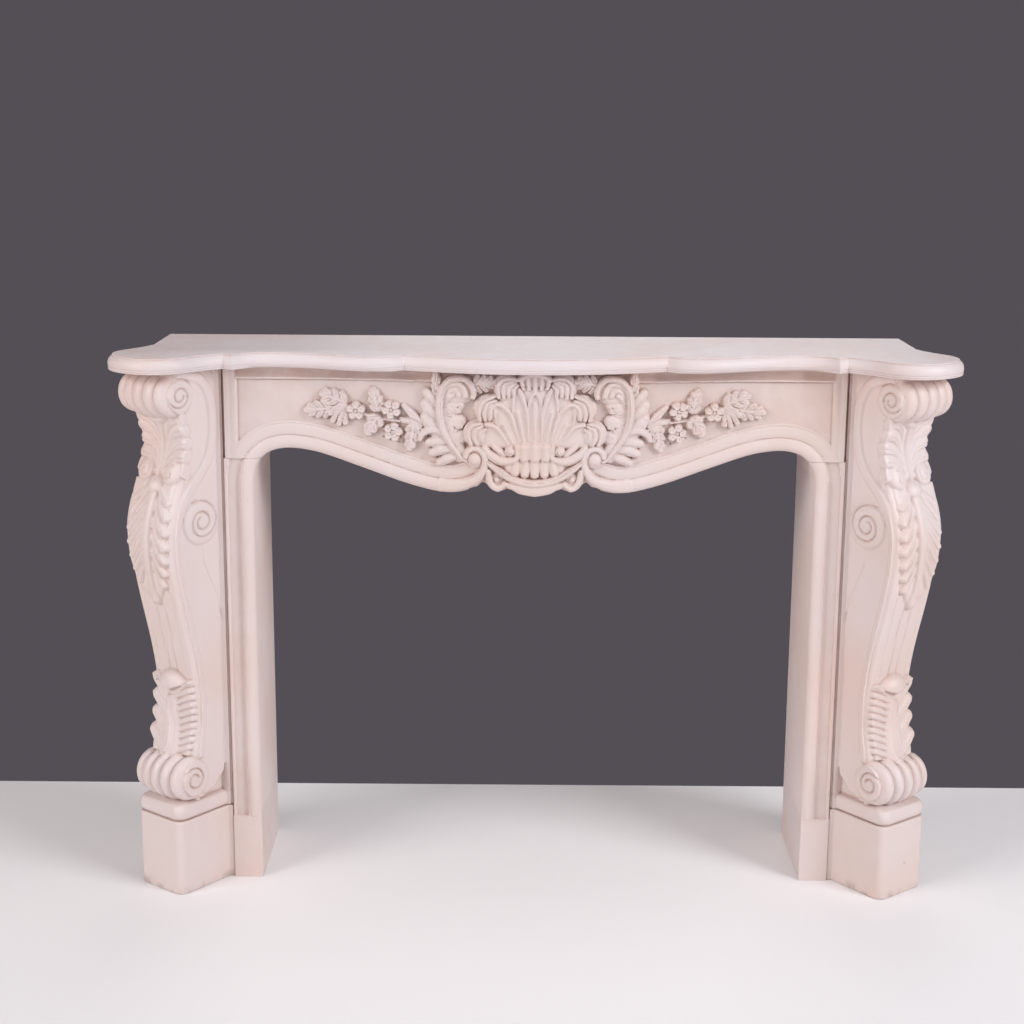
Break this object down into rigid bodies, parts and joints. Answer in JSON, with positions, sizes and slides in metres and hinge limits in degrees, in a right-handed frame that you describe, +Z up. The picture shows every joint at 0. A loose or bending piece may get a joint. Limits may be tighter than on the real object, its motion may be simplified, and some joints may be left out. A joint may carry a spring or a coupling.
{
  "type": "fireplace mantel",
  "caption": "Carved cast-stone fireplace mantel with a bowed frieze, shell cartouche, flower sprays, turned scroll legs on plinths and a moulded shelf.",
  "frame": {"origin": "on the floor, in the middle of the mantel's width and depth", "axes": "+Z up, +Y toward the wall behind the mantel, +X to the right as seen from the room"},
  "size_m": [1.6556, 0.3748, 1.1],
  "materials": {
    "shelf_stone": "satin pale pinkish-white cast stone",
    "frieze_stone": "satin pale pinkish-white cast stone, browner in its recesses",
    "jamb_stone": "satin pale pinkish-white cast stone",
    "console_stone": "satin pale pinkish-white cast stone, browner in its recesses",
    "plinth_stone": "satin pale pinkish-white cast stone with a few small stains"
  },
  "bodies": {
    "root": {"mantel_shelf": "shelf_stone", "frieze": "frieze_stone", "left_jamb": "jamb_stone", "right_jamb": "jamb_stone", "left_console": "console_stone", "right_console": "console_stone", "left_plinth": "plinth_stone", "right_plinth": "plinth_stone"}
  },
  "joints": []
}
